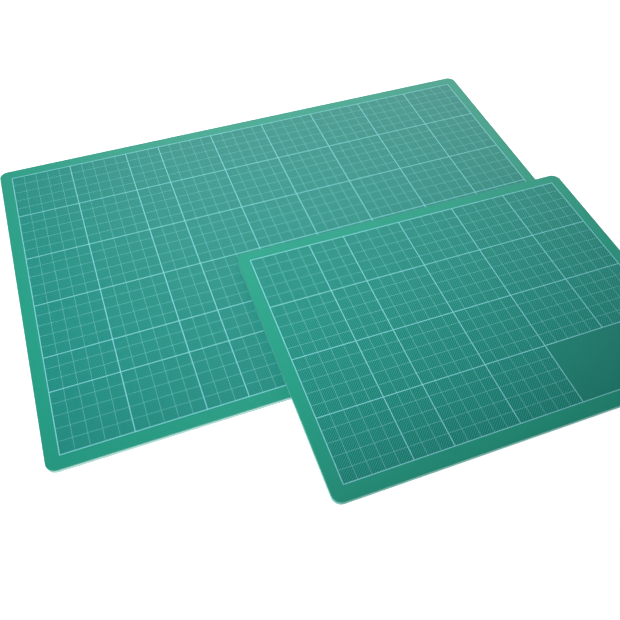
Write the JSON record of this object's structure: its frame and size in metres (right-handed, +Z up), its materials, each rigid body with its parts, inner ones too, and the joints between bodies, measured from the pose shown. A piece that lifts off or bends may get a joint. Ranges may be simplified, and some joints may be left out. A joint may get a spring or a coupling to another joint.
{
  "type": "cutting mat",
  "caption": "Small green cutting mat lying loose on a larger one, each a thin laminated sheet with round corners and a printed centimetre grid, for work with craft knives.",
  "frame": {"origin": "middle of the large mat's underside, on the surface that it lies on", "axes": "+X along the large mat's long side, to the right as pictured; +Y towards the back; +Z up"},
  "size_m": [0.4676, 0.3866, 0.0082],
  "materials": {
    "green_pvc": "satin green PVC with a fine pebbled grain",
    "milky_pvc": "milky green stiff PVC, seen only at the die-cut edge",
    "pale_pvc": "pale green matt PVC",
    "aqua_ink": "thin screen-printed aqua ink"
  },
  "bodies": {
    "large_mat": {"large_base_ply": "pale_pvc", "large_core_ply": "milky_pvc", "large_top_ply": "green_pvc", "large_grid_print": "aqua_ink"},
    "small_mat": {"small_base_ply": "pale_pvc", "small_core_ply": "milky_pvc", "small_top_ply": "green_pvc", "small_grid_print": "aqua_ink"}
  },
  "joints": [
    {"name": "small_mat_lift", "type": "slide", "parent": "large_mat", "child": "small_mat", "axis": [0, 0, 1], "range_m": [0, 0.15]}
  ]
}
